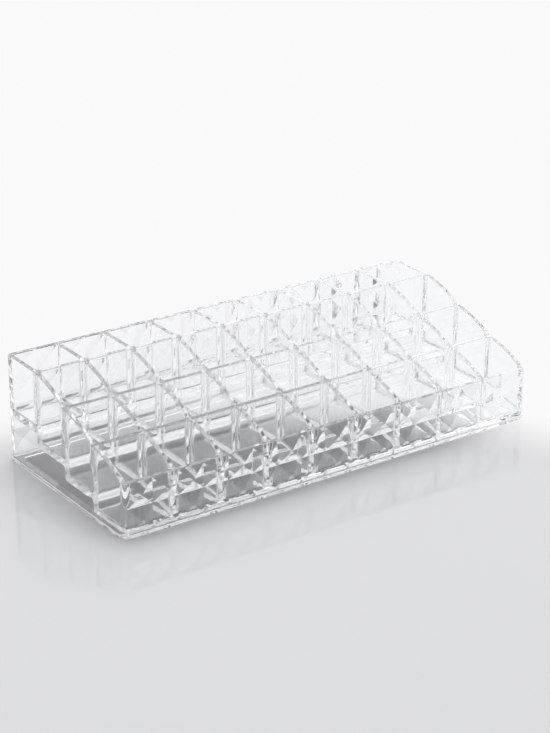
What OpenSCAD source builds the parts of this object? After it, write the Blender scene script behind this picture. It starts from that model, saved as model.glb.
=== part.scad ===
// Clear stepped organizer for lipsticks and small cosmetics: four tiers of square pockets,
// scalloped dividers, and a front and a back panel covered with shallow square pyramids.
// Sizes are in millimetres. The origin is the middle of the footprint, on the surface that the
// organizer stands on. +X runs to the right along the rows, +Y to the back and +Z up.

/* [Pockets] */
// Clear width of a pocket, left to right
pocket_w = 23; // [18:0.5:40]
// Clear depth of a pocket, front to back
pocket_d = 23; // [18:0.5:40]
// Radius of a pocket's upright corners and of the cove round its floor
pocket_r = 2; // [1:0.25:4]

/* [Walls] */
// Thickness of every upright wall
wall = 2.3; // [1.8:0.1:4]
// Thickness of a pocket floor
floor_t = 3; // [2:0.25:5]
// Rounding of the walls' top edges
edge_r = 0.5; // [0.2:0.1:0.8]

/* [Heights] */
// Height of the front wall above the table
front_h = 26.6; // [24:0.2:40]
// Rise of the wall tops from one tier to the next
tier_rise = 8.8; // [7:0.2:12]
// Rise of the pocket floors from one tier to the next
floor_rise = 6.9; // [5:0.1:9]

/* [Scallops] */
// Bulge of a divider's top edge above a straight line
scallop_sag = 0.8; // [0.3:0.1:1.5]
// Run of the notch where a divider drops to the wall in front of it
notch_run = 1.6; // [0.5:0.1:4]
// Rise of that notch
notch_rise = 1.8; // [0.5:0.1:4]

/* [Facets] */
// Number of pyramids across a panel
facet_columns = 17; // [9:1:24]
// Rows of pyramids on the front panel
front_facet_rows = 2; // [1:1:4]
// Rows of pyramids on the back panel
back_facet_rows = 4; // [2:1:8]
// Height of a pyramid above the panel's face
facet_h = 2.1; // [0.5:0.1:2.5]
// Plain corner strip between the body's corner and the first pyramid
corner_strip = 1.6; // [1:0.1:1.7]

/* [Base] */
// Reach of the base rim past the walls
rim_out = 1.3; // [0.8:0.1:4]
// Height of the base rim
rim_h = 1.7; // [1.2:0.1:4]
// Radius of the base rim's corners, seen from above
rim_corner_r = 5; // [4:0.5:8]
// Thickness of the ledge that the walls stand on
ledge_t = 0.8; // [0.5:0.1:1.1]
// Width of that ledge, inwards from the walls' outer faces
ledge_w = 5; // [3:0.5:10]

/* [Fits] */
// Bond line left at each side where two panels cross or one drops into another
bond_gap = 0.05; // [0.02:0.01:0.2]

/* [Hidden] */
$fn = 96;

// Counts that the node list follows: eight dividers part nine columns, three row walls part four tiers
columns = 9;
tiers = 4;

// How far a cut runs past the face that it opens
overrun = 1;
// Facets of a full circle of the size that a scallop is cut from
scallop_fn = 360;
// Share of the cove's radius that its rim rises to, so that the rim ends in a narrow flat
cove_share = 0.75;
// Share of the way from a pocket floor to a wall top at which two crossing panels lap
lap_share = 0.5;

// Cast acrylic, faintly cool
clear = [0.86, 0.93, 0.97, 0.55];

// Spacing of the walls, and the outside of the walled body
pitch_x = pocket_w + wall;
pitch_y = pocket_d + wall;
body_w = columns * pitch_x + wall;
body_d = tiers * pitch_y + wall;
back_h = front_h + (tiers - 1) * tier_rise;
cove_h = pocket_r * cove_share;

// Walls are counted from the front: 0 is the front panel, then the row walls, and the back panel is last
function wall_front(k) = k * pitch_y;
function wall_back(k) = k * pitch_y + wall;
function wall_top(k) = front_h + min(k, tiers - 1) * tier_rise;

// Tiers are counted from 1 at the front: top and underside of a tier's floor
function floor_top(k) = ledge_t + floor_t + (k - 1) * floor_rise;
function floor_under(k) = floor_top(k) - floor_t;

// Height at which the dividers and row wall k are notched into each other
function lap_z(k) = floor_top(k + 1) + lap_share * (wall_top(k) - floor_top(k + 1));

// Scallop of tier k: a circular arc from the top of the notch up to the front face of wall k
function arc_start(k) = [wall_back(k - 1) + notch_run, wall_top(k - 1) + notch_rise];
function arc_end(k) = [wall_front(k), wall_top(k)];
function arc_chord(k) = norm(arc_end(k) - arc_start(k));
function arc_r(k) = (pow(arc_chord(k) / 2, 2) + pow(scallop_sag, 2)) / (2 * scallop_sag);
function arc_up(k) = let (d = (arc_end(k) - arc_start(k)) / arc_chord(k)) [-d[1], d[0]];
function arc_centre(k) = (arc_start(k) + arc_end(k)) / 2 - arc_up(k) * (arc_r(k) - scallop_sag);

// Puts the body's own corner frame, whose zero is its front left corner, round the part's origin
module in_body() {
    translate([-body_w / 2, -body_d / 2, 0]) children();
}

// Carries an outline drawn in Y and Z along X
module along_x(length) {
    rotate([90, 0, 90]) linear_extrude(length) children();
}

// Carries an outline drawn in X and Z along Y
module along_y(length) {
    translate([0, length, 0]) rotate([90, 0, 0]) linear_extrude(length) children();
}

// Rectangle with four round corners
module round_rectangle(size, r) {
    translate([r, 0]) square([size[0] - 2 * r, size[1]]);
    translate([0, r]) square([size[0], size[1] - 2 * r]);
    for (x = [r, size[0] - r], y = [r, size[1] - r]) translate([x, y]) circle(r);
}

// What a rounding takes off a square corner at the origin whose sides run to -X and -Y
module corner_waste(r) {
    difference() {
        translate([-r, -r]) square(r + overrun);
        translate([-r, -r]) circle(r);
    }
}

// Cross-section of an upright wall with both top edges rounded
module wall_section(low, high) {
    difference() {
        translate([0, low]) square([wall, high - low]);
        translate([wall, high]) corner_waste(edge_r);
        translate([0, high]) mirror([1, 0]) corner_waste(edge_r);
    }
}

// Side outline of an upright in tier k, from height low to its scalloped top edge
module tier_side(k, low) {
    front = wall_back(k - 1);
    drop = wall_top(k - 1);
    difference() {
        intersection() {
            translate([front, low]) square([pocket_d, wall_top(k) - low]);
            translate(arc_centre(k)) circle(arc_r(k), $fn = scallop_fn);
        }
        polygon([
            [front - overrun, drop], [front, drop], arc_start(k),
            [front + notch_run, drop + tier_rise], [front - overrun, drop + tier_rise]
        ]);
    }
}

// Side outline of the last tier, whose uprights are level from wall to wall
module last_tier_side(low) {
    translate([wall_back(tiers - 1), low]) square([pocket_d, back_h - low]);
}

// Side outline of every tier, each from its own lowest height
module tier_sides(lows) {
    for (k = [1 : tiers - 1]) tier_side(k, lows[k - 1]);
    last_tier_side(lows[tiers - 1]);
}

// Plan of the concave web that fills a pocket's corner at the origin, drawn towards +X and +Y
module web_plan() {
    difference() {
        translate([-bond_gap, 0]) square([pocket_r + bond_gap, pocket_r]);
        translate([pocket_r, pocket_r]) circle(pocket_r);
    }
}

// Corner webs of one column of pockets, standing on the plane x = 0 and reaching to +X
module pocket_webs() {
    for (k = [1 : tiers]) {
        low = floor_top(k) + cove_h;
        translate([0, wall_back(k - 1) + bond_gap, low]) linear_extrude(wall_top(k - 1) - low) web_plan();
        intersection() {
            translate([0, wall_front(k) - bond_gap, low])
                linear_extrude(wall_top(k) - low) mirror([0, 1]) web_plan();
            translate([-overrun, 0, 0]) along_x(pocket_r + 2 * overrun) tier_sides([for (t = [1 : tiers]) ledge_t]);
        }
    }
}

// Pocket space of tier k: square pockets with round corners, and a cove round each floor
module pocket_space(k) {
    space_h = 2 * pocket_r + cove_h;
    translate([0, wall_back(k - 1), floor_top(k)]) intersection() {
        along_y(pocket_d) for (c = [0 : columns - 1])
            translate([wall + c * pitch_x, 0]) round_rectangle([pocket_w, space_h + pocket_r], pocket_r);
        along_x(body_w) round_rectangle([pocket_d, space_h + pocket_r], pocket_r);
        linear_extrude(space_h) for (c = [0 : columns - 1])
            translate([wall + c * pitch_x, 0]) round_rectangle([pocket_w, pocket_d], pocket_r);
    }
}

// Panel whose outer face, towards -Y, is a field of pyramids. Their field is where two zigzag
// prisms meet, one zigzag across the panel and one up it, so each pyramid has four flat sides
module facet_panel(high, rows) {
    panel_w = body_w - 2 * corner_strip - 2 * bond_gap;
    step_x = panel_w / (2 * facet_columns);
    step_z = (high - edge_r - rim_h) / (2 * rows);
    across = [for (i = [0 : 2 * facet_columns]) [i * step_x, -facet_h * (i % 2)]];
    upward = [for (i = [0 : 2 * rows]) [-facet_h * (i % 2), rim_h + i * step_z]];
    translate([corner_strip + bond_gap, 0, 0]) intersection() {
        linear_extrude(high) polygon(concat(across, [[panel_w, wall], [0, wall]]));
        along_x(panel_w) difference() {
            polygon(concat([[0, ledge_t]], upward, [[0, high], [wall, high], [wall, ledge_t]]));
            translate([wall, high]) corner_waste(edge_r);
            translate([0, high]) mirror([1, 0]) corner_waste(edge_r);
        }
    }
}

// Plan of an end wall: outer corners rounded, and a rabbet at each end that takes a facet panel
module end_plan() {
    difference() {
        round_rectangle([2 * wall, body_d], corner_strip);
        translate([corner_strip, -overrun]) square([wall + corner_strip, wall + overrun]);
        translate([corner_strip, body_d - wall]) square([wall + corner_strip, wall + overrun]);
        translate([wall, 0]) square([wall + overrun, body_d]);
    }
}

// Left end wall, from the ledge up, with its pocket corners
module end_wall() {
    intersection() {
        linear_extrude(back_h) end_plan();
        along_x(wall) {
            tier_sides([for (t = [1 : tiers]) ledge_t]);
            for (k = [0 : tiers]) translate([wall_front(k), ledge_t]) square([wall, wall_top(k) - ledge_t]);
        }
    }
    translate([wall, 0, 0]) pocket_webs();
}

// Side outline of a divider: it stops short of both panels and bridges the row walls above their laps
module divider_side() {
    difference() {
        tier_sides([for (k = [1 : tiers]) floor_top(k)]);
        for (k = [0 : tiers]) translate([wall_front(k) - bond_gap, 0])
            square([wall + 2 * bond_gap, back_h + overrun]);
    }
    for (k = [1 : tiers - 1]) translate([wall_front(k) - bond_gap, lap_z(k)])
        square([wall + 2 * bond_gap, wall_top(k) - lap_z(k)]);
}

// One divider: it drops from above over the row walls, between the coves of the pocket floors
module divider(column) {
    color(clear) in_body() translate([column * pitch_x, 0, 0]) {
        along_x(wall) divider_side();
        translate([wall, 0, 0]) pocket_webs();
        mirror([1, 0, 0]) pocket_webs();
    }
}

// Upright wall behind tier k, which also closes the step down to that tier's floor
module row_wall(k) {
    color(clear) in_body() difference() {
        translate([wall, wall_front(k), 0]) along_x(body_w - 2 * wall) wall_section(floor_under(k), wall_top(k));
        for (c = [1 : columns - 1]) translate([c * pitch_x - bond_gap, wall_front(k) - overrun, lap_z(k) - bond_gap])
            cube([wall + 2 * bond_gap, wall + 2 * overrun, wall_top(k)]);
    }
}

// Floor of tier k: a strip with the cove of each pocket standing on it
module tier_floor(k) {
    color(clear) in_body() difference() {
        union() {
            translate([wall, wall_back(k - 1), floor_under(k)]) cube([body_w - 2 * wall, pocket_d, floor_t]);
            for (c = [0 : columns - 1]) translate([wall + c * pitch_x, wall_back(k - 1), floor_under(k)])
                cube([pocket_w, pocket_d, floor_t + cove_h]);
        }
        pocket_space(k);
    }
}

module front_panel() {
    color(clear) in_body() facet_panel(front_h, front_facet_rows);
}

module back_panel() {
    color(clear) in_body() translate([0, body_d, 0]) mirror([0, 1, 0]) facet_panel(back_h, back_facet_rows);
}

module left_end_wall() {
    color(clear) in_body() end_wall();
}

module right_end_wall() {
    color(clear) in_body() translate([body_w, 0, 0]) mirror([1, 0, 0]) end_wall();
}

// Rim and ledge under the walls, one ring with a seat that the walls stand in
module base_frame() {
    color(clear) in_body() difference() {
        translate([-rim_out, -rim_out, 0]) linear_extrude(rim_h)
            round_rectangle([body_w + 2 * rim_out, body_d + 2 * rim_out], rim_corner_r);
        translate([-bond_gap, -bond_gap, ledge_t]) linear_extrude(rim_h)
            round_rectangle([body_w + 2 * bond_gap, body_d + 2 * bond_gap], corner_strip + bond_gap);
        translate([ledge_w, ledge_w, -overrun]) linear_extrude(rim_h + overrun)
            round_rectangle([body_w - 2 * ledge_w, body_d - 2 * ledge_w], pocket_r);
    }
}

base_frame();
front_panel();
back_panel();
left_end_wall();
right_end_wall();
row_wall(1);  // row_wall_1
row_wall(2);  // row_wall_2
row_wall(3);  // row_wall_3
tier_floor(1);  // tier_floor_1
tier_floor(2);  // tier_floor_2
tier_floor(3);  // tier_floor_3
tier_floor(4);  // tier_floor_4
divider(1);  // divider_1
divider(2);  // divider_2
divider(3);  // divider_3
divider(4);  // divider_4
divider(5);  // divider_5
divider(6);  // divider_6
divider(7);  // divider_7
divider(8);  // divider_8
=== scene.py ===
"""Clear stepped organizer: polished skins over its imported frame, and a soft white studio round it.

The organizer is one clear body of 20 bonded panels. Each panel's skin is only what of it meets the air, so
the skins together close round the body, and light runs through the bonds as through cemented plastic.
All sizes are in metres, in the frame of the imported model: X along the rows, Y to the back, Z up.
"""
import math

import bpy
import numpy as np
from mathutils import Matrix, Vector


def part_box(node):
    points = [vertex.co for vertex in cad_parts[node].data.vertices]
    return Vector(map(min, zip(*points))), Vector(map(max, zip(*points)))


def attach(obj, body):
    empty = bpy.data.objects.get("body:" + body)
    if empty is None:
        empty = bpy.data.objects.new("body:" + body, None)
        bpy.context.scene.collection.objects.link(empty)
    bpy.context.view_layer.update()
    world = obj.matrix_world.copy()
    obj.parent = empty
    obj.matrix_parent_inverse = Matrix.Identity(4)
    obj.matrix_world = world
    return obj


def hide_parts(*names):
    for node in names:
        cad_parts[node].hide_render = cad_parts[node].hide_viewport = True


bl_info = {
    "name": "Clear stepped organizer",
    "version": (1, 0, 0),
    "blender": (4, 5, 0),
    "location": "View3D > Sidebar > Organizer",
    "description": "Builds the skins, the clear plastic and the studio of a stepped cosmetic organizer",
    "category": "Add Mesh",
}

MM = 0.001
COLUMNS = 9
TIERS = 4
BODY = "root"

# Panels across the rows, from left to right, and along them, from front to back
UPRIGHTS = ["left_end_wall", *("divider_%d" % c for c in range(1, COLUMNS)), "right_end_wall"]
CROSS_PANELS = ["front_panel", *("row_wall_%d" % k for k in range(1, TIERS)), "back_panel"]

# Sides of a pocket with the way into each wall, in the order of a turn, and the starts of the arcs after them
SIDES = {"front": (0.0, -1.0), "right": (1.0, 0.0), "back": (0.0, 1.0), "left": (-1.0, 0.0)}
ARC_STARTS = (-math.pi / 2, 0.0, math.pi / 2, math.pi)

# Steps of the quarter circles, those of the body's outline and the base frame's alike so that they meet
CORNER_STEPS = 10
COVE_STEPS = 6
EDGE_STEPS = 6
OUTLINE_STEPS = 4
RIM_STEPS = 5
FOOT_STEPS = 3
UNDERSIDE_STEPS = 4

# Stations along a side wall: close together over the notch, which takes the first share of the way
NOTCH_SHARE = 0.12
NOTCH_STEPS = 3
SCALLOP_STEPS = 16

# Rows between the curves: up a pocket's wall, over a crest, down an end wall, and across the underside
WALL_SHARES = (0.25, 0.5, 0.75)
CREST_SHARES = (0.5, 1.0)
END_ROWS = 4
UNDERSIDE_COLUMNS = 10

# How far a divider's corner web reaches along a row wall, and how little a level crest may rise
WEB_REACH = 0.4 * MM
LEVEL = 0.01 * MM

# Points that agree to this many decimals of a metre are one, and faces that bend by more than this meet sharp
WELD_DIGITS = 8
SHARP_ANGLE = math.radians(38)

WHITE = (1.0, 1.0, 1.0, 1.0)

# Polishing haze and moulding waves: noise scale and detail, and how the haze's noise spreads the roughness
HAZE_SCALE, HAZE_DETAIL = 260.0, 3.0
HAZE_NOISE = (0.35, 0.75)
HAZE_SHARES = (0.4, 1.8)
WAVE_SCALE, WAVE_DETAIL = 55.0, 1.0

# Floor: half its side, how far it lies below the organizer's foot, and how rough it is
FLOOR_REACH = 6.0
FLOOR_DROP = 0.02 * MM
FLOOR_ROUGHNESS = 0.08

# Lamps: the way to each or its place and target, and how wide it is
KEY_WAY, KEY_WIDTH = (0.25, 0.40, 1.0), math.radians(35)
FILL_WAY, FILL_WIDTH = (0.0, 0.0, 1.0), math.radians(60)
SOFTBOX_PLACE, SOFTBOX_TARGET = (-1.3, 0.4, 0.5), (0.0, 0.0, 0.03)
SOFTBOX_SIDE, SOFTBOX_POWER = 0.9, 6.0

# Flags, from full shade to none: how far a direction points away from the camera, and how high
FLAG_AWAY = (0.3, 0.8)
FLAG_HEIGHT = (0.5, 0.8)

# Height of the photo and its lens, solved from the organizer's edges, in pixels, and the range in metres
PHOTO_HEIGHT = 733
PHOTO_FOCAL = 2085.6
CAMERA_RANGE = (0.01, 50.0)

# Light crosses many walls on its way, so it may turn this often
BOUNCES = {"max_bounces": 40, "transmission_bounces": 40, "glossy_bounces": 24}

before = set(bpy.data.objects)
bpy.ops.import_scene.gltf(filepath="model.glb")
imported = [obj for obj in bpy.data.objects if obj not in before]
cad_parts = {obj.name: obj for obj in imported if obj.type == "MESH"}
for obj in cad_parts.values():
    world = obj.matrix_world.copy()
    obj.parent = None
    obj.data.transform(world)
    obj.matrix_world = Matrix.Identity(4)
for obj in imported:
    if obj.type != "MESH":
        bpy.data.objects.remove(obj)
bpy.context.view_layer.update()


class OrganizerShape(bpy.types.PropertyGroup):
    """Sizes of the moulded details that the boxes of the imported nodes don't give."""

    pocket_radius: bpy.props.FloatProperty(
        name="Pocket corner", description="Radius of a pocket's upright corners",
        default=2.0 * MM, min=1.0 * MM, max=4.0 * MM, unit="LENGTH")
    cove_radius: bpy.props.FloatProperty(
        name="Floor cove", description="Radius of the cove between a pocket's floor and its walls",
        default=1.6 * MM, min=0.5 * MM, max=1.9 * MM, unit="LENGTH")
    floor_thickness: bpy.props.FloatProperty(
        name="Floor thickness", description="Thickness of a pocket floor",
        default=3.0 * MM, min=2.0 * MM, max=5.0 * MM, unit="LENGTH")
    edge_radius: bpy.props.FloatProperty(
        name="Edge rounding", description="Rounding of the walls' top edges",
        default=0.5 * MM, min=0.2 * MM, max=0.8 * MM, unit="LENGTH")
    scallop_sag: bpy.props.FloatProperty(
        name="Scallop bulge", description="Bulge of a divider's top edge above a straight line",
        default=0.8 * MM, min=0.3 * MM, max=1.5 * MM, unit="LENGTH")
    notch_run: bpy.props.FloatProperty(
        name="Notch run", description="Run of the notch where a divider drops to the wall before it",
        default=1.6 * MM, min=0.5 * MM, max=4.0 * MM, unit="LENGTH")
    notch_rise: bpy.props.FloatProperty(
        name="Notch rise", description="Rise of that notch",
        default=1.8 * MM, min=0.5 * MM, max=4.0 * MM, unit="LENGTH")
    corner_strip: bpy.props.FloatProperty(
        name="Corner strip",
        description="Radius of the body's upright corners, and the plain strip beside the facets",
        default=1.6 * MM, min=1.0 * MM, max=1.7 * MM, unit="LENGTH")
    rim_corner: bpy.props.FloatProperty(
        name="Rim corner", description="Radius of the base rim's corners, seen from above",
        default=5.0 * MM, min=4.0 * MM, max=8.0 * MM, unit="LENGTH")
    rim_edge: bpy.props.FloatProperty(
        name="Rim edge", description="Rounding of the base rim's outer edges",
        default=0.5 * MM, min=0.1 * MM, max=0.8 * MM, unit="LENGTH")
    ledge_width: bpy.props.FloatProperty(
        name="Ledge width",
        description="Width of the base frame's ledge, from the walls' outer faces inwards",
        default=5.0 * MM, min=3.0 * MM, max=10.0 * MM, unit="LENGTH")
    ledge_thickness: bpy.props.FloatProperty(
        name="Ledge thickness", description="Thickness of that ledge",
        default=0.8 * MM, min=0.5 * MM, max=1.1 * MM, unit="LENGTH")
    step_radius: bpy.props.FloatProperty(
        name="Step rounding", description="Rounding of the steps on the underside",
        default=1.5 * MM, min=0.5 * MM, max=3.0 * MM, unit="LENGTH")
    facet_columns: bpy.props.IntProperty(
        name="Facet columns", description="Pyramids across a panel", default=17, min=9, max=24)
    front_facet_rows: bpy.props.IntProperty(
        name="Front facet rows", description="Rows of pyramids on the front panel", default=2, min=1, max=4)
    back_facet_rows: bpy.props.IntProperty(
        name="Back facet rows", description="Rows of pyramids on the back panel", default=4, min=2, max=8)


class OrganizerPlastic(bpy.types.PropertyGroup):
    """Finish of the clear plastic."""

    tint: bpy.props.FloatVectorProperty(
        name="Tint", description="Colour that each polished face lends to the light that crosses it",
        subtype="COLOR", default=(0.985, 0.99, 0.992), min=0.0, max=1.0)
    ior: bpy.props.FloatProperty(
        name="Refraction", description="Index of refraction of the plastic", default=1.5, min=1.3, max=1.7)
    roughness: bpy.props.FloatProperty(
        name="Roughness", description="Roughness of the polished faces", default=0.0015, min=0.0, max=0.2)
    wave: bpy.props.FloatProperty(
        name="Waviness", description="Height of the slow waves that moulding leaves in a flat face",
        default=0.006 * MM, min=0.0, max=1.0 * MM, unit="LENGTH")
    # Painted glow: a white emission that every face gives off whatever the lamps, standing in for light
    # scattered in the plastic
    scatter: bpy.props.FloatProperty(
        name="Painted_glow", description="Light that a polished face adds by scattering, as a share of white",
        default=0.004, min=0.0, max=0.1)


class OrganizerStudio(bpy.types.PropertyGroup):
    """Floor, lamps and camera."""

    floor_colour: bpy.props.FloatVectorProperty(
        name="Floor", description="Colour of the floor", subtype="COLOR",
        default=(0.74, 0.745, 0.755), min=0.0, max=1.0)
    surround: bpy.props.FloatVectorProperty(
        name="Surround", description="White that is seen all round", subtype="COLOR",
        default=(0.95, 0.95, 0.955), min=0.0, max=1.0)
    ambient: bpy.props.FloatProperty(
        name="Ambient", description="Strength of the surround's light on the floor",
        default=0.37, min=0.0, max=1.0)
    flag_shade: bpy.props.FloatProperty(
        name="Flag shade",
        description="How dark the flags on the near side and at the sides are to polished faces",
        default=0.85, min=0.0, max=1.0)
    backdrop_glare: bpy.props.FloatProperty(
        name="Backdrop glare", description="How much brighter than white polished faces see the far backdrop",
        default=0.35, min=0.0, max=3.0)
    floor_centre: bpy.props.FloatVectorProperty(
        name="Floor centre", description="Middle of the part of the floor that takes the shadow",
        subtype="TRANSLATION", default=(-0.216, -0.309, 0.0))
    floor_near: bpy.props.FloatProperty(
        name="Floor near",
        description="Distance from that middle at which the floor begins to fade to the surround",
        default=0.37, min=0.05, unit="LENGTH")
    floor_far: bpy.props.FloatProperty(
        name="Floor far", description="Distance at which the floor has faded to the surround",
        default=0.425, min=0.1, unit="LENGTH")
    key_light: bpy.props.FloatProperty(
        name="Key light",
        description="Share of full light that falls from the back right and casts the shadow",
        default=0.22, min=0.0, max=1.0)
    fill_light: bpy.props.FloatProperty(
        name="Fill light", description="Share of full light that reaches the floor through the clear plastic",
        default=0.4, min=0.0, max=1.0)
    azimuth: bpy.props.FloatProperty(
        name="Azimuth", description="Direction that the camera looks from, round the object",
        subtype="ANGLE", default=math.radians(-34.93))
    elevation: bpy.props.FloatProperty(
        name="Elevation", description="Height of the camera as an angle", subtype="ANGLE",
        default=math.radians(22.66))
    roll: bpy.props.FloatProperty(
        name="Roll", description="Turn of the camera about its line of sight", subtype="ANGLE",
        default=math.radians(0.08))
    place: bpy.props.FloatVectorProperty(
        name="Camera place", description="Where the camera stands", subtype="TRANSLATION",
        default=(-0.5266, -0.7560, 0.4217))
    focal_share: bpy.props.FloatProperty(
        name="Focal length", description="Focal length as a share of the picture's height",
        default=PHOTO_FOCAL / PHOTO_HEIGHT)


class Body:
    """Places of the panels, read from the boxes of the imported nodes. Left and right are the faces of the
    panels across the rows, front and back those of the panels along them, and tops are the heights of the
    latter. Under and floors are the undersides and tops of the tiers' floors."""

    def __init__(self, shape):
        rows = [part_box("row_wall_%d" % k) for k in range(1, TIERS)]
        panels = [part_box("front_panel"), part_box("back_panel")]
        floors = [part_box("tier_floor_%d" % k) for k in range(1, TIERS + 1)]
        self.low = np.array([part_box("left_end_wall")[0].x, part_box("left_end_wall")[0].y])
        self.high = np.array([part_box("right_end_wall")[1].x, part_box("right_end_wall")[1].y])
        self.wall = rows[0][1].y - rows[0][0].y
        middles = [sum(corner.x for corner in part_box("divider_%d" % c)) / 2 for c in range(1, COLUMNS)]
        divider_sides = [x - self.wall / 2 for x in middles]
        self.left = np.array([self.low[0]] + divider_sides + [self.high[0] - self.wall])
        self.right = self.left + self.wall
        self.front = np.array([self.low[1]] + [row[0].y for row in rows] + [self.high[1] - self.wall])
        self.back = self.front + self.wall
        self.tops = np.array([panels[0][1].z] + [row[1].z for row in rows] + [panels[1][1].z])
        self.under = np.array([floor[0].z for floor in floors])
        self.floors = self.under + shape.floor_thickness
        self.facet = self.low[1] - panels[0][0].y
        self.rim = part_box("base_frame")
        self.rim_top = self.rim[1].z


def crest(y, body, shape):
    """Height of the walls' top edges at y. A wall's own top is level. Behind it the edge rises through a
    notch: at a share of the notch's run it has risen by the share squared, times 3 less twice the share, of
    its height. Then it follows a circular arc up to the next wall's front face, where the height is the arc
    centre's plus the root of the radius squared less the squared distance from the centre along Y."""
    y = np.asarray(y, float)
    heights = np.full(y.shape, body.tops[0])
    for tier in range(1, TIERS + 1):
        start_y, end_y = body.back[tier - 1], body.front[tier]
        low, high = body.tops[tier - 1], body.tops[tier]
        if high - low > LEVEL:
            first = np.array([start_y + shape.notch_run, low + shape.notch_rise])
            last = np.array([end_y, high])
            chord = np.linalg.norm(last - first)
            along = (last - first) / chord
            upward = np.array([-along[1], along[0]])
            radius = ((chord / 2) ** 2 + shape.scallop_sag ** 2) / (2 * shape.scallop_sag)
            centre = (first + last) / 2 - upward * (radius - shape.scallop_sag)
            arc = centre[1] + np.sqrt(np.maximum(radius ** 2 - (y - centre[0]) ** 2, 0.0))
            share = np.clip((y - start_y) / shape.notch_run, 0.0, 1.0)
            notch = low + shape.notch_rise * share * share * (3 - 2 * share)
            edge = np.where(y < first[0], notch, arc)
        else:
            edge = np.full(y.shape, high)
        heights = np.where(y > start_y, edge, heights)
        heights = np.where(y >= end_y, high, heights)
    return heights


def quarter(steps):
    """Angles of a quarter circle in even steps, both ends included."""
    return np.linspace(0.0, math.pi / 2, steps + 1)


def corner_arc(centre, radius, start, steps):
    """Points of a quarter circle and the directions out of it: the cosine and the sine of the angle, which
    starts at start and grows by a quarter turn, and for the points times the radius from the centre."""
    angle = start + quarter(steps)
    out = np.stack([np.cos(angle), np.sin(angle)], axis=1)
    return centre + radius * out, out


def corner_centres(low, high, radius):
    """Centres of a rectangle's four corner arcs, anticlockwise from the front right one."""
    return [np.array([high[0] - radius, low[1] + radius]), high - radius,
            np.array([low[0] + radius, high[1] - radius]), low + radius]


def straight_line(start, end, steps):
    """Points at even shares of the way from start to end, both ends included."""
    return start + (end - start) * np.linspace(0, 1, steps + 1)[:, None]


def outer_corner(centre, first, second, reach, edges, round_off, steps):
    """Path outside a pocket's corner arc, in as many steps: straight out along first to the corner where two
    walls meet, and straight back along second. At a corner of the body a quarter circle takes the corner off.
    Gives the points and, where they lie on the body's outside, the way out of it."""
    start = centre + first * reach[0]
    turn = centre + first * reach[0] + second * reach[1]
    end = centre + second * reach[1]
    if edges[0] and edges[1]:
        legs = (steps - OUTLINE_STEPS) // 2
        before = straight_line(start, turn - second * round_off, legs)
        after = straight_line(turn - first * round_off, end, legs)
        angle = quarter(OUTLINE_STEPS)[1:-1, None]
        way = first * np.cos(angle) + second * np.sin(angle)
        middle = turn - (first + second) * round_off + way * round_off
        return (np.concatenate([before, middle, after]),
                np.concatenate([np.tile(first, (len(before), 1)), way, np.tile(second, (len(after), 1))]))
    before = straight_line(start, turn, steps // 2)
    after = straight_line(turn, end, steps // 2)[1:]
    nothing = np.zeros(2)
    before_way = np.tile(first if edges[0] else nothing, (len(before), 1))
    after_way = np.tile(second if edges[1] else nothing, (len(after), 1))
    if edges[1]:
        before_way[-1] = second
    return np.concatenate([before, after]), np.concatenate([before_way, after_way])


def pocket_loop(column, tier, body, shape):
    """One turn round a pocket, seen from above: straight along each wall and round each corner in a quarter
    circle. Gives at each station the point on the pocket's wall, the way into the wall, the matching point on
    the wall's middle line or the body's outside, the way out of the body there, and the panel that owns the
    stretch to the next station."""
    radius, rounding = shape.pocket_radius, shape.edge_radius
    low = np.array([body.right[column - 1], body.back[tier - 1]])
    high = np.array([body.left[column], body.front[tier]])
    edge = {"left": column == 1, "right": column == COLUMNS, "front": tier == 1, "back": tier == TIERS}
    reach = {side: radius + (body.wall - rounding if edge[side] else body.wall / 2) for side in edge}
    left_owner, right_owner = UPRIGHTS[column - 1], UPRIGHTS[column]
    x_stops = np.array([low[0] + radius, low[0] + radius + WEB_REACH,
                        high[0] - radius - WEB_REACH, high[0] - radius])
    y_share = np.concatenate([np.linspace(0, NOTCH_SHARE, NOTCH_STEPS + 1)[:-1],
                              np.linspace(NOTCH_SHARE, 1, SCALLOP_STEPS + 1)])
    y_stops = low[1] + radius + (high[1] - low[1] - 2 * radius) * y_share
    walls = {
        "front": (x_stops, low[1], [left_owner, CROSS_PANELS[tier - 1], right_owner]),
        "right": (y_stops, high[0], [right_owner] * (len(y_stops) - 1)),
        "back": (x_stops[::-1], high[1], [right_owner, CROSS_PANELS[tier], left_owner]),
        "left": (y_stops[::-1], low[0], [left_owner] * (len(y_stops) - 1)),
    }
    ways = {side: np.array(way) for side, way in SIDES.items()}
    following = {"front": "right", "right": "back", "back": "left", "left": "front"}
    inner, way, outer, out, owner = [], [], [], [], []
    for side, centre, start in zip(walls, corner_centres(low, high, radius), ARC_STARTS):
        stops, level, owners = walls[side]
        stops = stops[:-1]
        level = np.full(len(stops), level)
        points = np.stack([stops, level] if side in ("front", "back") else [level, stops], axis=1)
        wall_way = np.tile(ways[side], (len(stops), 1))
        arc, arc_way = corner_arc(centre, radius, start, CORNER_STEPS)
        path, path_out = outer_corner(
            centre, ways[side], ways[following[side]], (reach[side], reach[following[side]]),
            (edge[side], edge[following[side]]), shape.corner_strip - rounding, CORNER_STEPS)
        inner += [points, arc[:-1]]
        way += [wall_way, arc_way[:-1]]
        outer += [points + wall_way * (reach[side] - radius), path[:-1]]
        out += [wall_way if edge[side] else np.zeros_like(wall_way), path_out[:-1]]
        owner += owners + [right_owner if side in ("front", "right") else left_owner] * CORNER_STEPS
    loops = [np.concatenate(part) for part in (inner, way, outer, out)]
    return (*loops, np.array(owner))


def with_height(points, z):
    """Points of the plan at the heights z."""
    return np.concatenate([points, np.broadcast_to(z, points.shape[:-1])[..., None]], axis=-1)


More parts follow.
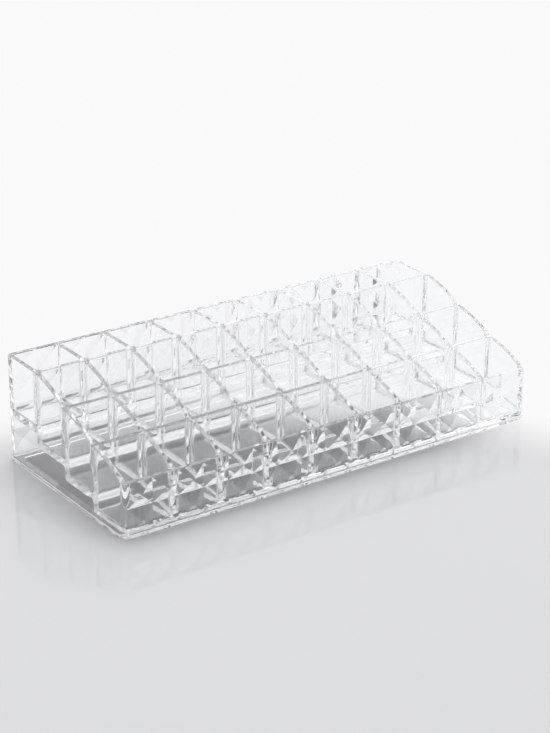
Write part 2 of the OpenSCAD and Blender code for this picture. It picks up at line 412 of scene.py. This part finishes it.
def strip_faces(rows, columns, closed):
    """Quads of a grid of rows by columns, each turned so that rows climb on the left of the way along one."""
    column = np.arange(columns if closed else columns - 1)
    row = np.arange(rows - 1)[:, None]
    here, after = row * columns + column, row * columns + (column + 1) % columns
    return np.stack([here, here + columns, after + columns, after], axis=-1)


class Skins:
    """Collects the faces that each panel shows to the air, and makes one welded mesh of them per panel."""

    def __init__(self):
        self.parts = {}

    def add(self, owner, points, faces, smooth=True):
        """Notes faces of one panel, as rows of indices into the points."""
        points = np.asarray(points, float).reshape(-1, 3)
        self.parts.setdefault(owner, []).append((points, np.asarray(faces), smooth))

    def add_owned(self, points, faces, owners):
        """Shares a grid's faces out among their owners."""
        for owner in np.unique(owners):
            self.add(owner, points, faces[owners == owner])

    def mesh(self, owner):
        """One mesh of all that a panel's faces use, in which points that agree are one."""
        points = np.concatenate([part_points for part_points, part_faces, part_smooth in self.parts[owner]])
        shift, faces, smooth = 0, [], []
        for part_points, part_faces, part_smooth in self.parts[owner]:
            faces += (part_faces + shift).tolist()
            smooth += [part_smooth] * len(part_faces)
            shift += len(part_points)
        welded, where = np.unique(np.round(points, WELD_DIGITS), axis=0, return_inverse=True)
        where = where.reshape(-1)
        used = np.unique(where[np.concatenate(faces)])
        final = np.full(len(welded), -1)
        final[used] = np.arange(len(used))
        faces = [final[where[face]].tolist() for face in faces]
        mesh = bpy.data.meshes.new(owner + "_skin")
        mesh.from_pydata(welded[used].tolist(), [], faces)
        mesh.set_sharp_from_angle(angle=SHARP_ANGLE)
        mesh.polygons.foreach_set("use_smooth", smooth)
        mesh.update()
        return mesh


def add_pocket(skins, column, tier, body, shape):
    """Inside of a pocket and the tops of the walls round it: a loop of stations carried along a profile. The
    cove lies inside the wall by its radius times 1 less the sine of its angle, and above the floor by its
    radius times 1 less the cosine. The wall climbs straight. The edge lies inside the wall's thickness by its
    radius times 1 less the cosine, and below the crest by its radius times 1 less the sine. The last rows run
    along the crest."""
    inner, way, outer, out, owner = pocket_loop(column, tier, body, shape)
    floor, cove, rounding = body.floors[tier - 1], shape.cove_radius, shape.edge_radius
    rows = []
    for angle in quarter(COVE_STEPS):
        points = inner - way * cove * (1 - math.sin(angle))
        rows.append(with_height(points, floor + cove * (1 - math.cos(angle))))
    wall_top = crest(inner[:, 1], body, shape) - rounding
    for share in WALL_SHARES:
        rows.append(with_height(inner, floor + cove + (wall_top - floor - cove) * share))
    for angle in quarter(EDGE_STEPS):
        points = inner + way * rounding * (1 - math.cos(angle))
        rows.append(with_height(points, crest(points[:, 1], body, shape) - rounding * (1 - math.sin(angle))))
    inset = inner + way * rounding
    for share in CREST_SHARES:
        points = inset + (outer - inset) * share
        rows.append(with_height(points, crest(points[:, 1], body, shape)))
    grid = np.array(rows)
    faces = strip_faces(len(grid), len(inner), True)
    tier_floor = "tier_floor_%d" % tier
    skins.add(tier_floor, grid[0], np.arange(len(inner))[None, :])
    skins.add(tier_floor, grid, faces[:COVE_STEPS].reshape(-1, 4))
    upper = faces[COVE_STEPS:]
    skins.add_owned(grid, upper.reshape(-1, 4), np.tile(owner, len(upper)))
    panel = "front_panel" if tier == 1 else "back_panel"
    end = "left_end_wall" if column == 1 else "right_end_wall"
    add_outside(skins, panel, end, outer, out, body, shape)


def add_outside(skins, panel, end, outer, out, body, shape):
    """Outside of the walls round a pocket, where they are the body's. Its top edge lies further out by the
    rounding times the sine of its angle, and below the crest by the rounding times 1 less the cosine. On the
    body's ends and round corners it then runs straight down to the rim."""
    on_edge = np.abs(out).sum(axis=1) > 0
    stretch = on_edge & np.roll(on_edge, -1)
    if not stretch.any():
        return
    rounding = shape.edge_radius
    rows = []
    for angle in quarter(EDGE_STEPS):
        points = outer + out * rounding * math.sin(angle)
        rows.append(with_height(points, crest(points[:, 1], body, shape) - rounding * (1 - math.cos(angle))))
    bend = np.array(rows)
    # Straight stretches that face the front or the back belong to the faceted panel
    straight = np.abs(out - np.roll(out, -1, axis=0)).sum(axis=1) < 1e-9
    on_panel = stretch & straight & (np.abs(out[:, 1]) > 0.5)
    owner = np.where(on_panel, panel, end)
    faces = strip_faces(len(bend), len(out), True)[:, stretch]
    skins.add_owned(bend, faces.reshape(-1, 4), np.tile(owner[stretch], len(bend) - 1))
    on_end = stretch & ~on_panel
    if on_end.any():
        top = bend[-1]
        drop = np.array([0, 0, 1]) * (body.rim_top - top[:, 2:])
        face = np.array([top + drop * share for share in np.linspace(0, 1, END_ROWS)])
        faces = strip_faces(len(face), len(out), True)[:, on_end]
        skins.add(end, face, faces.reshape(-1, 4))


def add_facets(skins, owner, face_y, out, high, rows, body, shape):
    """Field of square pyramids on a panel's outer face: the base corners lie on the face, and each apex
    stands proud of the middle of its square by the height of a facet."""
    columns = shape.facet_columns
    x = np.linspace(body.low[0] + shape.corner_strip, body.high[0] - shape.corner_strip, columns + 1)
    z = np.linspace(body.rim_top, high - shape.edge_radius, rows + 1)
    base = np.stack([np.tile(x, rows + 1), np.full((columns + 1) * (rows + 1), face_y),
                     np.repeat(z, columns + 1)], axis=1)
    apex_x, apex_z = (x[:-1] + x[1:]) / 2, (z[:-1] + z[1:]) / 2
    apex = np.stack([np.tile(apex_x, rows), np.full(columns * rows, face_y + out * body.facet),
                     np.repeat(apex_z, columns)], axis=1)
    column, row = np.tile(np.arange(columns), rows), np.repeat(np.arange(rows), columns)
    start = row * (columns + 1) + column
    corners = [start, start + 1, start + columns + 2, start + columns + 1, start]
    top = len(base) + np.arange(columns * rows)
    faces = np.concatenate([np.stack([before, after, top], axis=1)
                            for before, after in zip(corners, corners[1:])])
    if out > 0:
        faces = faces[:, ::-1]
    skins.add(owner, np.concatenate([base, apex]), faces, smooth=False)


def rounded_outline(low, high, radius):
    """Rectangle with a quarter circle at each corner, run round once from the front right, seen from above.
    Gives the points and the ways out of it."""
    arcs = [corner_arc(centre, radius, start, OUTLINE_STEPS)
            for centre, start in zip(corner_centres(low, high, radius), ARC_STARTS)]
    points, ways = zip(*arcs)
    return np.concatenate(points), np.concatenate(ways)


def add_base(skins, body, shape):
    """Rim and ledge. The body's outline is carried out to the rim, whose top edge lies inside the rim's
    outline by its radius times 1 less the sine of an angle, and below the top by its radius times 1 less the
    cosine. Half that radius turns it under the foot in the same way, and it runs up the ledge's inner face.
    The ledge's top shows where the hollow under the steps leaves it open."""
    rim_low, rim_high = np.array(body.rim[0][:2]), np.array(body.rim[1][:2])
    ledge_low, ledge_high = body.low + shape.ledge_width, body.high - shape.ledge_width
    rounding = shape.rim_edge
    rows = [with_height(rounded_outline(body.low, body.high, shape.corner_strip)[0], body.rim_top)]
    outline, way = rounded_outline(rim_low, rim_high, shape.rim_corner)
    for angle in quarter(RIM_STEPS):
        points = outline - way * rounding * (1 - math.sin(angle))
        rows.append(with_height(points, body.rim_top - rounding * (1 - math.cos(angle))))
    for angle in quarter(FOOT_STEPS):
        points = outline - way * rounding / 2 * (1 - math.cos(angle))
        rows.append(with_height(points, rounding / 2 * (1 - math.sin(angle))))
    inside = rounded_outline(ledge_low, ledge_high, shape.pocket_radius)[0]
    rows.append(with_height(inside, 0.0))
    rows.append(with_height(inside, shape.ledge_thickness))
    grid = np.array(rows)
    skins.add("base_frame", grid, strip_faces(len(rows), grid.shape[1], True).reshape(-1, 4))

    step = body.back[1]
    corners = inside[inside[:, 1] > 0][::-1]
    ledge = np.concatenate([
        [[body.right[0], step], [ledge_low[0], step]], corners[np.argsort(corners[:, 0], kind="stable")],
        [[ledge_high[0], step], [body.left[-1], step], [body.left[-1], body.front[-1]],
         [body.right[0], body.front[-1]]]])
    top = with_height(ledge, shape.ledge_thickness)
    skins.add("base_frame", top, np.arange(len(top))[None, :])


def step_path(body, shape):
    """Underside of the steps in Y and Z, from the first riser to the back panel. At each step's inner corner
    it lies behind the riser by the radius times 1 less the cosine of an angle, and below the floor above by
    the radius times 1 less the sine. At the outer corner sine and cosine change places, and it lies before
    the next riser and above the floor. Also gives the panel that owns the stretch to the next point."""
    radius, angle = shape.step_radius, quarter(UNDERSIDE_STEPS)
    path, owners = [np.array([[body.back[1], shape.ledge_thickness]])], ["row_wall_1"]
    for tier in range(1, TIERS):
        riser, above = body.back[tier], body.under[tier]
        inner = np.stack([riser + radius * (1 - np.cos(angle)),
                          above - radius * (1 - np.sin(angle))], axis=1)
        path.append(inner)
        owners += ["row_wall_%d" % tier] * UNDERSIDE_STEPS + ["tier_floor_%d" % (tier + 1)]
        if tier < TIERS - 1:
            edge = body.back[tier + 1]
            outer = np.stack([edge - radius * (1 - np.sin(angle)),
                              above + radius * (1 - np.cos(angle))], axis=1)
            path.append(outer)
            owners += ["row_wall_%d" % (tier + 1)] * (UNDERSIDE_STEPS + 1)
    path.append(np.array([[body.front[-1], body.under[-1]], [body.front[-1], shape.ledge_thickness]]))
    owners += ["back_panel"]
    return np.concatenate(path), owners


def add_underside(skins, body, shape):
    """Hollow under the steps: the step outline carried straight from end wall to end wall, the end walls'
    faces inside it, and the first tier's underside inside the ledge."""
    path, owners = step_path(body, shape)
    x = np.linspace(body.right[0], body.left[-1], UNDERSIDE_COLUMNS)
    grid = np.empty((len(path), len(x), 3))
    grid[:, :, 0] = x
    grid[:, :, 1:] = path[:, None]
    faces = strip_faces(len(path), len(x), False)
    for row, owner in enumerate(owners):
        skins.add(owner, grid, faces[row])
    order = np.arange(len(path))
    for owner, face_x, turn in (("left_end_wall", body.right[0], order[::-1]),
                                ("right_end_wall", body.left[-1], order)):
        points = np.concatenate([np.full((len(path), 1), face_x), path], axis=1)
        skins.add(owner, points, turn[None, :])
    ledge_low, ledge_high = body.low + shape.ledge_width, body.high - shape.ledge_width
    inside = rounded_outline(ledge_low, ledge_high, shape.pocket_radius)[0]
    front = inside[inside[:, 1] < 0]
    left, right = front[front[:, 0] < 0], front[front[:, 0] > 0]
    outline = np.concatenate([left, right, [[ledge_high[0], body.back[1]], [ledge_low[0], body.back[1]]]])
    under = with_height(outline, shape.ledge_thickness)
    skins.add("tier_floor_1", under, np.arange(len(under))[::-1][None, :])


def organizer_skins(shape):
    """All skins of the organizer, worked out from the sizes in shape."""
    body = Body(shape)
    skins = Skins()
    for tier in range(1, TIERS + 1):
        for column in range(1, COLUMNS + 1):
            add_pocket(skins, column, tier, body, shape)
    add_facets(skins, "front_panel", body.low[1], -1, body.tops[0], shape.front_facet_rows, body, shape)
    add_facets(skins, "back_panel", body.high[1], 1, body.tops[-1], shape.back_facet_rows, body, shape)
    add_base(skins, body, shape)
    add_underside(skins, body, shape)
    return skins


def node(tree, kind, **inputs):
    """New shader node, with values given by its inputs' names. An underscore stands for a space there."""
    made = tree.nodes.new(kind)
    for name, value in inputs.items():
        made.inputs[name.replace("_", " ")].default_value = value
    return made


def join(tree, *pairs):
    """Links each pair of an output and an input."""
    for output, target in pairs:
        tree.links.new(output, target)


def arithmetic(tree, operation, *values):
    """Output of a new Math node on values that are numbers or other nodes' outputs."""
    made = tree.nodes.new("ShaderNodeMath")
    made.operation = operation
    for target, value in zip(made.inputs, values):
        if isinstance(value, bpy.types.NodeSocket):
            tree.links.new(value, target)
        else:
            target.default_value = value
    return made.outputs[0]


def clear_plastic():
    """Polished clear plastic. Noise on Object coordinates gives it slow moulding waves and a faint polishing
    haze, and each face gives off a little white of its own, a painted glow that brightens it whatever the
    lamps."""
    material = bpy.data.materials.get("clear_plastic")
    if material:
        return material
    look = bpy.context.scene.organizer_plastic
    material = bpy.data.materials.new("clear_plastic")
    material.use_nodes = True
    tree = material.node_tree
    tree.nodes.clear()
    output = tree.nodes.new("ShaderNodeOutputMaterial")
    shader = tree.nodes.new("ShaderNodeBsdfPrincipled")
    shader.inputs["Base Color"].default_value = (*look.tint, 1.0)
    shader.inputs["Transmission Weight"].default_value = 1.0
    shader.inputs["IOR"].default_value = look.ior
    # Painted glow: the faces emit a little white light of their own, which brightens the plastic under any
    # lamp
    shader.inputs["Emission Color"].default_value = WHITE
    shader.inputs["Emission Strength"].default_value = look.scatter
    place = tree.nodes.new("ShaderNodeTexCoord")
    haze = node(tree, "ShaderNodeTexNoise", Scale=HAZE_SCALE, Detail=HAZE_DETAIL)
    spread = node(tree, "ShaderNodeMapRange", From_Min=HAZE_NOISE[0], From_Max=HAZE_NOISE[1],
                  To_Min=look.roughness * HAZE_SHARES[0], To_Max=look.roughness * HAZE_SHARES[1])
    waves = node(tree, "ShaderNodeTexNoise", Scale=WAVE_SCALE, Detail=WAVE_DETAIL)
    bump = node(tree, "ShaderNodeBump", Strength=1.0, Distance=look.wave)
    join(tree,
         (place.outputs["Object"], haze.inputs["Vector"]),
         (place.outputs["Object"], waves.inputs["Vector"]),
         (haze.outputs["Fac"], spread.inputs["Value"]),
         (spread.outputs["Result"], shader.inputs["Roughness"]),
         (waves.outputs["Fac"], bump.inputs["Height"]),
         (bump.outputs["Normal"], shader.inputs["Normal"]),
         (shader.outputs["BSDF"], output.inputs["Surface"]))
    return material


def make_panel(skins, owner):
    """Makes a panel's skin a finished piece in place of its node, and gives the piece."""
    piece = bpy.data.objects.new(owner + "_skin", skins.mesh(owner))
    bpy.context.scene.collection.objects.link(piece)
    piece.data.materials.append(clear_plastic())
    normals = piece.modifiers.new("Even shading", "WEIGHTED_NORMAL")
    normals.keep_sharp = True
    normals.weight = 100
    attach(piece, BODY)
    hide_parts(owner)
    return piece


class PanelOperator:
    """Shared work of the operators that make panels."""

    bl_options = {"REGISTER", "UNDO"}
    panels = ()

    def execute(self, context):
        """Makes the operator's panels, and raises an error for one that has no faces."""
        skins = organizer_skins(context.scene.organizer_shape)
        for owner in self.panels:
            if not make_panel(skins, owner).data.polygons:
                raise RuntimeError("%s has no faces" % owner)
        return {"FINISHED"}


class ORGANIZER_OT_base_frame(PanelOperator, bpy.types.Operator):
    """Make the rim and ledge under the walls"""

    bl_idname = "organizer.base_frame"
    bl_label = "Base frame"
    panels = ("base_frame",)


class ORGANIZER_OT_facet_panels(PanelOperator, bpy.types.Operator):
    """Make the front and back panels with their pyramids"""

    bl_idname = "organizer.facet_panels"
    bl_label = "Facet panels"
    panels = ("front_panel", "back_panel")


class ORGANIZER_OT_end_walls(PanelOperator, bpy.types.Operator):
    """Make the two smooth end walls"""

    bl_idname = "organizer.end_walls"
    bl_label = "End walls"
    panels = ("left_end_wall", "right_end_wall")


class ORGANIZER_OT_row_walls(PanelOperator, bpy.types.Operator):
    """Make the walls between the tiers"""

    bl_idname = "organizer.row_walls"
    bl_label = "Row walls"
    panels = tuple("row_wall_%d" % k for k in range(1, TIERS))


class ORGANIZER_OT_tier_floors(PanelOperator, bpy.types.Operator):
    """Make the floors of the tiers"""

    bl_idname = "organizer.tier_floors"
    bl_label = "Tier floors"
    panels = tuple("tier_floor_%d" % k for k in range(1, TIERS + 1))


class ORGANIZER_OT_dividers(PanelOperator, bpy.types.Operator):
    """Make the scalloped dividers"""

    bl_idname = "organizer.dividers"
    bl_label = "Dividers"
    panels = tuple("divider_%d" % c for c in range(1, COLUMNS))


def softbox(name, place, target, side, power):
    """A soft square lamp turned to its target, which only polished and clear surfaces show."""
    data = bpy.data.lights.new(name, "AREA")
    data.size = side
    data.energy = power
    made = bpy.data.objects.new(name, data)
    made.visible_diffuse = False
    made.location = place
    made.rotation_euler = (Vector(target) - Vector(place)).to_track_quat("-Z", "Y").to_euler()
    bpy.context.scene.collection.objects.link(made)


def far_lamp(name, direction, share, width, shadow):
    """A soft lamp far off, which lights the whole floor alike with a share of full light, for matt surfaces
    alone. Full light gives a floor the colour that is written for it."""
    data = bpy.data.lights.new(name, "SUN")
    towards = Vector(direction).normalized()
    data.energy = math.pi * share / towards.z
    data.angle = width
    data.use_shadow = shadow
    made = bpy.data.objects.new(name, data)
    made.visible_glossy = made.visible_transmission = False
    made.rotation_euler = (-towards).to_track_quat("-Z", "Y").to_euler()
    bpy.context.scene.collection.objects.link(made)


def seen_directly(tree):
    """1 where the camera looks at a surface directly, in a reflection or through the clear plastic, and 0
    where the surface is met by scattered light."""
    path = tree.nodes.new("ShaderNodeLightPath")
    first = arithmetic(tree, "MAXIMUM", path.outputs["Is Camera Ray"], path.outputs["Is Glossy Ray"])
    return arithmetic(tree, "MAXIMUM", first, path.outputs["Is Transmission Ray"])


def pale_floor(look):
    """Pale, slightly glossy floor. Where it is looked at it fades to the white of the surround, by the
    distance from floor_centre, so it is lit and takes the shadow only close round the organizer."""
    material = bpy.data.materials.new("pale_floor")
    material.use_nodes = True
    tree = material.node_tree
    shader = tree.nodes["Principled BSDF"]
    shader.inputs["Base Color"].default_value = (*look.floor_colour, 1.0)
    shader.inputs["Roughness"].default_value = FLOOR_ROUGHNESS
    place = tree.nodes.new("ShaderNodeTexCoord")
    reach = tree.nodes.new("ShaderNodeVectorMath")
    reach.operation = "DISTANCE"
    reach.inputs[1].default_value = look.floor_centre
    fade = node(tree, "ShaderNodeMapRange", From_Min=look.floor_near, From_Max=look.floor_far)
    fade.interpolation_type = "SMOOTHSTEP"
    white = node(tree, "ShaderNodeEmission", Color=(*look.surround, 1.0))
    share = arithmetic(tree, "MULTIPLY", fade.outputs["Result"], seen_directly(tree))
    mix = tree.nodes.new("ShaderNodeMixShader")
    join(tree,
         (place.outputs["Object"], reach.inputs[0]),
         (reach.outputs["Value"], fade.inputs["Value"]),
         (share, mix.inputs[0]),
         (shader.outputs[0], mix.inputs[1]),
         (white.outputs[0], mix.inputs[2]),
         (mix.outputs[0], tree.nodes["Material Output"].inputs["Surface"]))
    return material


def studio_floor(look):
    """Plain floor, a large square at the height that the organizer stands on."""
    mesh = bpy.data.meshes.new("floor")
    corners = [(x * FLOOR_REACH, y * FLOOR_REACH, 0) for x, y in ((-1, -1), (1, -1), (1, 1), (-1, 1))]
    mesh.from_pydata(corners, [], [(0, 1, 2, 3)])
    mesh.materials.append(pale_floor(look))
    floor = bpy.data.objects.new("floor", mesh)
    floor.location.z = -FLOOR_DROP
    bpy.context.scene.collection.objects.link(floor)


def studio_world(look):
    """White surround that the camera and polished faces see, and a softer one that lights matt surfaces.
    Polished and clear faces also find soft dark flags in it, at the sides and on the near side below the
    overhead light, which draw the edges of the clear plastic, and a far backdrop that is brighter than white.
    Both follow the direction alone."""
    world = bpy.data.worlds.new("studio")
    world.use_nodes = True
    tree = world.node_tree
    tree.nodes.clear()
    output = tree.nodes.new("ShaderNodeOutputWorld")
    place = tree.nodes.new("ShaderNodeTexCoord")
    apart = tree.nodes.new("ShaderNodeSeparateXYZ")
    away = tree.nodes.new("ShaderNodeVectorMath")
    away.operation = "DOT_PRODUCT"
    away.inputs[1].default_value = (-math.sin(look.azimuth), math.cos(look.azimuth), 0.0)
    near_side, low_down = [
        node(tree, "ShaderNodeMapRange", From_Min=full, From_Max=none, To_Min=1.0, To_Max=0.0)
        for full, none in (FLAG_AWAY, FLAG_HEIGHT)]
    near_side.interpolation_type = low_down.interpolation_type = "SMOOTHSTEP"
    path = tree.nodes.new("ShaderNodeLightPath")
    near = near_side.outputs["Result"]
    flag = arithmetic(tree, "MULTIPLY", near, low_down.outputs["Result"])
    glare = arithmetic(tree, "MULTIPLY_ADD", near, -look.backdrop_glare, look.backdrop_glare)
    change = arithmetic(tree, "MULTIPLY_ADD", flag, -look.flag_shade, glare)
    bounced = arithmetic(tree, "SUBTRACT", 1.0, path.outputs["Is Camera Ray"])
    strength = arithmetic(tree, "MULTIPLY_ADD", change, bounced, 1.0)
    white = node(tree, "ShaderNodeBackground", Color=(*look.surround, 1.0))
    soft = node(tree, "ShaderNodeBackground", Strength=look.ambient)
    mix = tree.nodes.new("ShaderNodeMixShader")
    join(tree,
         (place.outputs["Generated"], away.inputs[0]),
         (place.outputs["Generated"], apart.inputs[0]),
         (away.outputs["Value"], near_side.inputs["Value"]),
         (apart.outputs["Z"], low_down.inputs["Value"]),
         (strength, white.inputs["Strength"]),
         (seen_directly(tree), mix.inputs[0]),
         (soft.outputs[0], mix.inputs[1]),
         (white.outputs[0], mix.inputs[2]),
         (mix.outputs[0], output.inputs["Surface"]))
    bpy.context.scene.world = world


def studio_camera(look):
    """Camera at the photographed angle, with the place and the lens of the studio's settings."""
    data = bpy.data.cameras.new("camera")
    data.sensor_fit = "VERTICAL"
    data.lens = look.focal_share * data.sensor_height
    data.clip_start, data.clip_end = CAMERA_RANGE
    camera = bpy.data.objects.new("camera", data)
    forward = Vector((-math.sin(look.azimuth) * math.cos(look.elevation),
                      math.cos(look.azimuth) * math.cos(look.elevation), -math.sin(look.elevation)))
    turn = forward.to_track_quat("-Z", "Y").to_matrix() @ Matrix.Rotation(look.roll, 3, "Z")
    camera.matrix_world = Matrix.Translation(Vector(look.place)) @ turn.to_4x4()
    bpy.context.scene.collection.objects.link(camera)
    bpy.context.scene.camera = camera


class ORGANIZER_OT_studio(bpy.types.Operator):
    """Make the floor, the lamps, the surround and the camera"""

    bl_idname = "organizer.studio"
    bl_label = "Studio"
    bl_options = {"REGISTER", "UNDO"}

    def execute(self, context):
        """Makes the stage and sets the view, and raises an error if there is no camera."""
        look = context.scene.organizer_studio
        studio_floor(look)
        studio_world(look)
        far_lamp("key", KEY_WAY, look.key_light, KEY_WIDTH, True)
        far_lamp("fill", FILL_WAY, look.fill_light, FILL_WIDTH, False)
        softbox("side_softbox", SOFTBOX_PLACE, SOFTBOX_TARGET, SOFTBOX_SIDE, SOFTBOX_POWER)
        studio_camera(look)
        scene = context.scene
        scene.view_settings.view_transform = "Standard"
        for limit, count in BOUNCES.items():
            setattr(scene.cycles, limit, count)
        scene.cycles.caustics_refractive = False
        scene.cycles.caustics_reflective = False
        if scene.camera is None:
            raise RuntimeError("the camera wasn't made")
        return {"FINISHED"}


OPERATORS = (ORGANIZER_OT_base_frame, ORGANIZER_OT_facet_panels, ORGANIZER_OT_end_walls,
             ORGANIZER_OT_row_walls, ORGANIZER_OT_tier_floors, ORGANIZER_OT_dividers, ORGANIZER_OT_studio)


class ORGANIZER_PT_sidebar(bpy.types.Panel):
    """Sidebar panel with the sizes and the steps of the organizer"""

    bl_idname = "ORGANIZER_PT_sidebar"
    bl_label = "Organizer"
    bl_space_type = "VIEW_3D"
    bl_region_type = "UI"
    bl_category = "Organizer"

    def draw(self, context):
        """Lists every size and colour, and below them the steps."""
        for group_name in GROUPS:
            group = getattr(context.scene, group_name)
            box = self.layout.box()
            for name in group.bl_rna.properties.keys():
                if name not in ("rna_type", "name"):
                    box.prop(group, name)
        for operator in OPERATORS:
            self.layout.operator(operator.bl_idname)


GROUPS = {"organizer_shape": OrganizerShape, "organizer_plastic": OrganizerPlastic,
          "organizer_studio": OrganizerStudio}


def register():
    """Registers the property groups, the operators and the panel."""
    for name, group in GROUPS.items():
        bpy.utils.register_class(group)
        setattr(bpy.types.Scene, name, bpy.props.PointerProperty(type=group))
    for operator in OPERATORS:
        bpy.utils.register_class(operator)
    bpy.utils.register_class(ORGANIZER_PT_sidebar)


def unregister():
    """Takes back what register did."""
    bpy.utils.unregister_class(ORGANIZER_PT_sidebar)
    for operator in reversed(OPERATORS):
        bpy.utils.unregister_class(operator)
    for name, group in reversed(GROUPS.items()):
        delattr(bpy.types.Scene, name)
        bpy.utils.unregister_class(group)


def main():
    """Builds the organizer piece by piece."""
    register()
    for operator in OPERATORS:
        group, name = operator.bl_idname.split(".")
        getattr(getattr(bpy.ops, group), name)()


if __name__ == "__main__":
    main()
